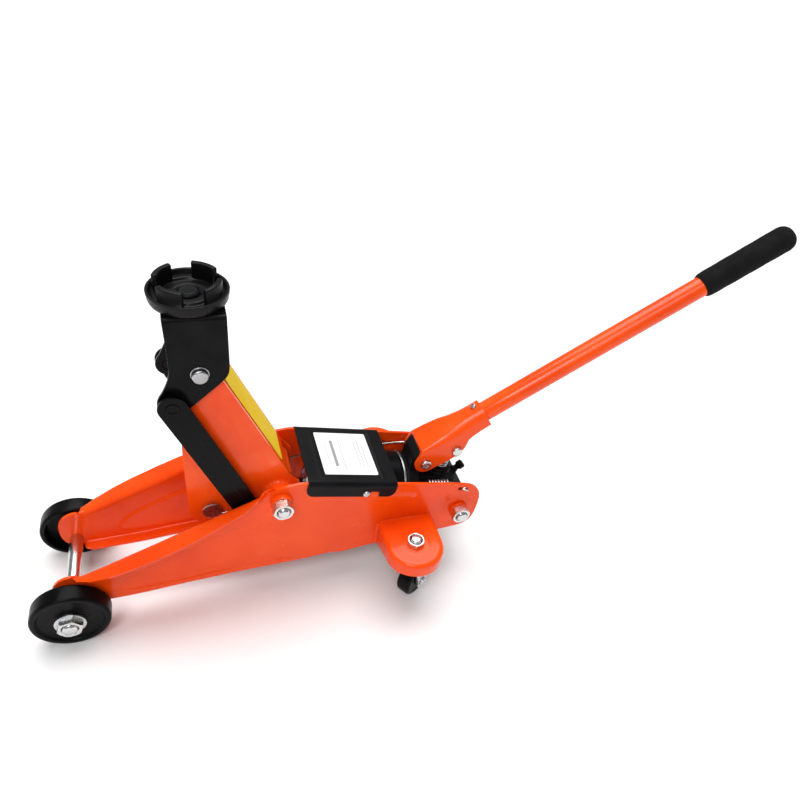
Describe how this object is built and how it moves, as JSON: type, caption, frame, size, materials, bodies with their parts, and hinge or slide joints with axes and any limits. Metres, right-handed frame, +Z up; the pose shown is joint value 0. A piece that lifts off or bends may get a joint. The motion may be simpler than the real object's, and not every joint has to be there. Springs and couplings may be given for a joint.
{
  "type": "hydraulic trolley jack",
  "caption": "Low orange-red hydraulic trolley jack, raised: lift arm with a swivelling four-prong saddle, front wheels, swivel rear casters and a pump handle with a black grip.",
  "frame": {"origin": "middle of the object's box at ground level", "axes": "+X towards the handle end, +Y to the right side as seen from behind the handle, +Z up"},
  "size_m": [0.6806, 0.192, 0.348],
  "materials": {
    "orange_paint": "gloss orange-red paint",
    "black_paint": "satin black paint",
    "black_plastic": "moulded black plastic",
    "zinc": "bright zinc plate",
    "steel": "machined and oiled steel",
    "grip_rubber": "soft matt rubber sleeve",
    "white_label": "blank white label",
    "yellow_label": "blank yellow caution strip",
    "cast_black": "black painted casting"
  },
  "bodies": {
    "frame": {"side_plate_left": "orange_paint", "side_plate_right": "orange_paint", "front_axle": "zinc", "axle_nut_left": "zinc", "axle_nut_right": "zinc", "main_shaft": "zinc", "main_nut_left": "zinc", "main_nut_right": "zinc", "link_pin_left": "orange_paint", "link_pin_right": "orange_paint", "cover": "black_paint", "cover_label": "white_label", "cover_screw_left": "zinc", "cover_screw_right": "zinc", "caster_bracket_left": "orange_paint", "caster_bracket_right": "orange_paint", "caster_stud_left": "zinc", "caster_stud_right": "zinc"},
    "wheel_left": {"front_wheel_left": "black_plastic"},
    "wheel_right": {"front_wheel_right": "black_plastic"},
    "arm": {"lift_arm": "orange_paint", "arm_pivot_tube": "orange_paint", "saddle_bracket_pin": "zinc", "ram_pin_left": "steel", "ram_pin_right": "steel", "arm_strip": "yellow_label"},
    "links": {"link_left": "black_paint", "link_right": "black_paint"},
    "bracket": {"saddle_bracket": "black_paint", "link_rivet_left": "steel", "link_rivet_right": "steel", "saddle_bolt": "zinc", "saddle_nut": "zinc"},
    "saddle_plate": {"saddle": "black_paint"},
    "caster_left": {"caster_fork_left": "zinc", "caster_axle_left": "zinc"},
    "caster_right": {"caster_fork_right": "zinc", "caster_axle_right": "zinc"},
    "caster_roll_left": {"caster_wheel_left": "black_plastic"},
    "caster_roll_right": {"caster_wheel_right": "black_plastic"},
    "power_unit": {"pump_casting": "cast_black", "reservoir": "black_paint", "reservoir_ring": "zinc", "ram_cylinder": "steel", "unit_bolt_left": "zinc", "unit_bolt_right": "zinc", "oil_plug": "grip_rubber", "plunger_spring": "zinc"},
    "ram": {"ram_rod": "steel"},
    "valve": {"release_valve": "black_paint"},
    "plunger": {"pump_plunger": "steel"},
    "handle": {"handle_socket": "orange_paint", "handle_tube": "orange_paint", "handle_grip": "grip_rubber", "socket_pin": "zinc", "roller_pin": "zinc", "handle_bolt": "steel"},
    "roller": {"pump_roller": "steel"},
    "return_springs": {"return_spring_left": "zinc", "return_spring_right": "zinc"}
  },
  "joints": [
    {"name": "front_wheel_left_spin", "type": "hinge", "parent": "frame", "child": "wheel_left", "pos_m": [-0.3083, -0.0495, 0.032], "axis": [0, 1, 0], "continuous": true},
    {"name": "front_wheel_right_spin", "type": "hinge", "parent": "frame", "child": "wheel_right", "pos_m": [-0.3083, 0.0495, 0.032], "axis": [0, 1, 0], "continuous": true},
    {"name": "lift", "type": "hinge", "parent": "frame", "child": "arm", "pos_m": [-0.1278, 0, 0.123], "axis": [0, 1, 0], "range_deg": [-90, 0]},
    {"name": "link_swing", "type": "hinge", "parent": "frame", "child": "links", "pos_m": [-0.1491, 0, 0.0984], "axis": [0, 1, 0], "range_deg": [-90.5, 0.5]},
    {"name": "bracket_level", "type": "hinge", "parent": "arm", "child": "bracket", "pos_m": [-0.1855, 0, 0.2579], "axis": [0, 1, 0], "range_deg": [-0.5, 90.5]},
    {"name": "saddle_turn", "type": "hinge", "parent": "bracket", "child": "saddle_plate", "pos_m": [-0.1879, 0, 0.31], "axis": [0, 0, 1], "continuous": true},
    {"name": "caster_left_swivel", "type": "hinge", "parent": "frame", "child": "caster_left", "pos_m": [-0.0093, -0.069, 0.066], "axis": [0, 0, 1], "continuous": true},
    {"name": "caster_right_swivel", "type": "hinge", "parent": "frame", "child": "caster_right", "pos_m": [-0.0093, 0.069, 0.066], "axis": [0, 0, 1], "continuous": true},
    {"name": "caster_left_roll", "type": "hinge", "parent": "caster_left", "child": "caster_roll_left", "pos_m": [-0.00193, -0.06384, 0.019], "axis": [-0.5736, 0.8192, 0], "continuous": true},
    {"name": "caster_right_roll", "type": "hinge", "parent": "caster_right", "child": "caster_roll_right", "pos_m": [-0.00193, 0.07416, 0.019], "axis": [-0.5736, 0.8192, 0], "continuous": true},
    {"name": "unit_tilt", "type": "hinge", "parent": "frame", "child": "power_unit", "pos_m": [0.0442, 0, 0.0777], "axis": [0, 1, 0], "range_deg": [-12.9, 0.1]},
    {"name": "ram_slide", "type": "slide", "parent": "power_unit", "child": "ram", "axis": [-0.989, 0, 0.1479], "range_m": [-0.0706, 0.0002]},
    {"name": "handle_pump", "type": "hinge", "parent": "power_unit", "child": "handle", "pos_m": [0.0112, 0, 0.124], "axis": [0, 1, 0], "range_deg": [-22, 28]},
    {"name": "plunger_stroke", "type": "slide", "parent": "power_unit", "child": "plunger", "axis": [0.1479, 0, 0.989], "range_m": [-0.0142, 0.0112], "deforming": ["plunger_spring"]},
    {"name": "roller_spin", "type": "hinge", "parent": "handle", "child": "roller", "pos_m": [0.041, 0, 0.1352], "axis": [0, 1, 0], "continuous": true},
    {"name": "valve_turn", "type": "hinge", "parent": "power_unit", "child": "valve", "pos_m": [0.0457, 0, 0.088], "axis": [0.7431, 0, 0.6691], "range_deg": [0, 360]},
    {"name": "spring_swing", "type": "hinge", "parent": "frame", "child": "return_springs", "pos_m": [0.0451, 0, 0.1042], "axis": [0, 1, 0], "range_deg": [-15.4, 0.1], "deforming": ["return_spring_left", "return_spring_right"]}
  ],
  "couplings": [
    {"joint": "link_swing", "follows": "lift", "ratio": 1},
    {"joint": "bracket_level", "follows": "lift", "ratio": -1},
    {"joint": "unit_tilt", "follows": "lift", "ratio": 0.1419},
    {"joint": "ram_slide", "follows": "lift", "m_per_rad": 0.04482},
    {"joint": "spring_swing", "follows": "lift", "ratio": 0.17},
    {"joint": "plunger_stroke", "follows": "handle_pump", "m_per_rad": -0.02865}
  ]
}
